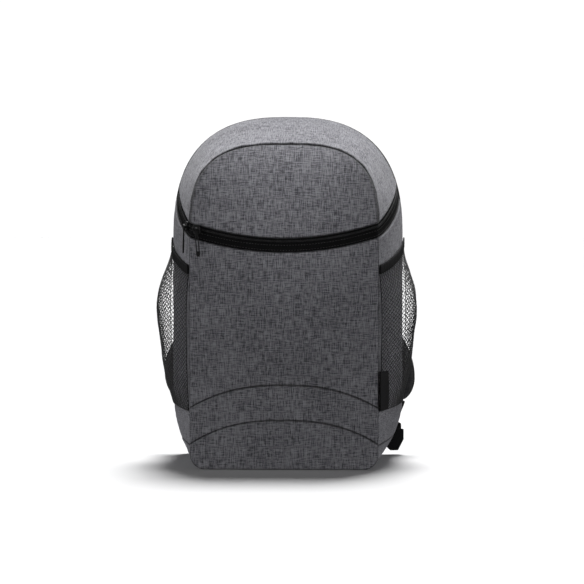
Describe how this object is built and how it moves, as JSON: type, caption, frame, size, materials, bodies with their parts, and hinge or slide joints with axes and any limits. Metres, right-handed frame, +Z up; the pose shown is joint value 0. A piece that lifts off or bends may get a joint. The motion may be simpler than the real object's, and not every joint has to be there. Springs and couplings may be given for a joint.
{
  "type": "cooler backpack",
  "caption": "Soft insulated backpack with an arched zip lid, net side pockets, a front panel with curved seams and padded shoulder straps.",
  "frame": {"origin": "middle of the base, on the surface that the bag stands on", "axes": "+Z up, -Y out of the front panel, +X to the right seen from the front"},
  "size_m": [0.3148, 0.2071, 0.42],
  "materials": {
    "melange_cloth": "grey melange polyester, plain weave, matt",
    "back_cloth": "dark padded polyester, matt",
    "net": "black knitted net",
    "elastic": "black ribbed elastic binding",
    "zip_tape": "black zip tape with a nylon coil",
    "webbing": "black woven webbing",
    "black_metal": "black enamelled zinc, satin",
    "black_plastic": "black moulded acetal, satin"
  },
  "bodies": {
    "bag": {"front_panel": "melange_cloth", "front_band": "melange_cloth", "front_toe": "melange_cloth", "brow_panel": "melange_cloth", "crown_panel": "melange_cloth", "base_panel": "melange_cloth", "back_panel": "back_cloth", "side_panel_left": "melange_cloth", "side_panel_right": "melange_cloth", "zip_tape_lower": "zip_tape", "zip_tape_upper": "zip_tape", "zip_coil": "zip_tape", "zip_slider_front": "black_metal", "zip_slider_side": "black_metal", "pocket_net_left": "net", "pocket_net_right": "net", "pocket_binding_left": "elastic", "pocket_binding_right": "elastic", "side_tag": "webbing", "shoulder_strap_left": "back_cloth", "shoulder_strap_right": "back_cloth", "ladder_lock_left": "black_plastic", "ladder_lock_right": "black_plastic", "strap_webbing_left": "webbing", "strap_webbing_right": "webbing", "corner_tab_left": "webbing", "corner_tab_right": "webbing"},
    "pull_front": {"zip_pull_front": "black_metal"},
    "pull_side": {"zip_pull_side": "black_metal"}
  },
  "joints": [
    {"name": "pull_front_hinge", "type": "hinge", "parent": "bag", "child": "pull_front", "pos_m": [-0.10343, -0.08498, 0.28532], "axis": [-0.9936, 0.0717, -0.0869], "range_deg": [0, 120]},
    {"name": "pull_side_hinge", "type": "hinge", "parent": "bag", "child": "pull_side", "pos_m": [-0.11886, -0.07059, 0.2887], "axis": [-0.2336, 0.9587, 0.1621], "range_deg": [0, 120]}
  ]
}
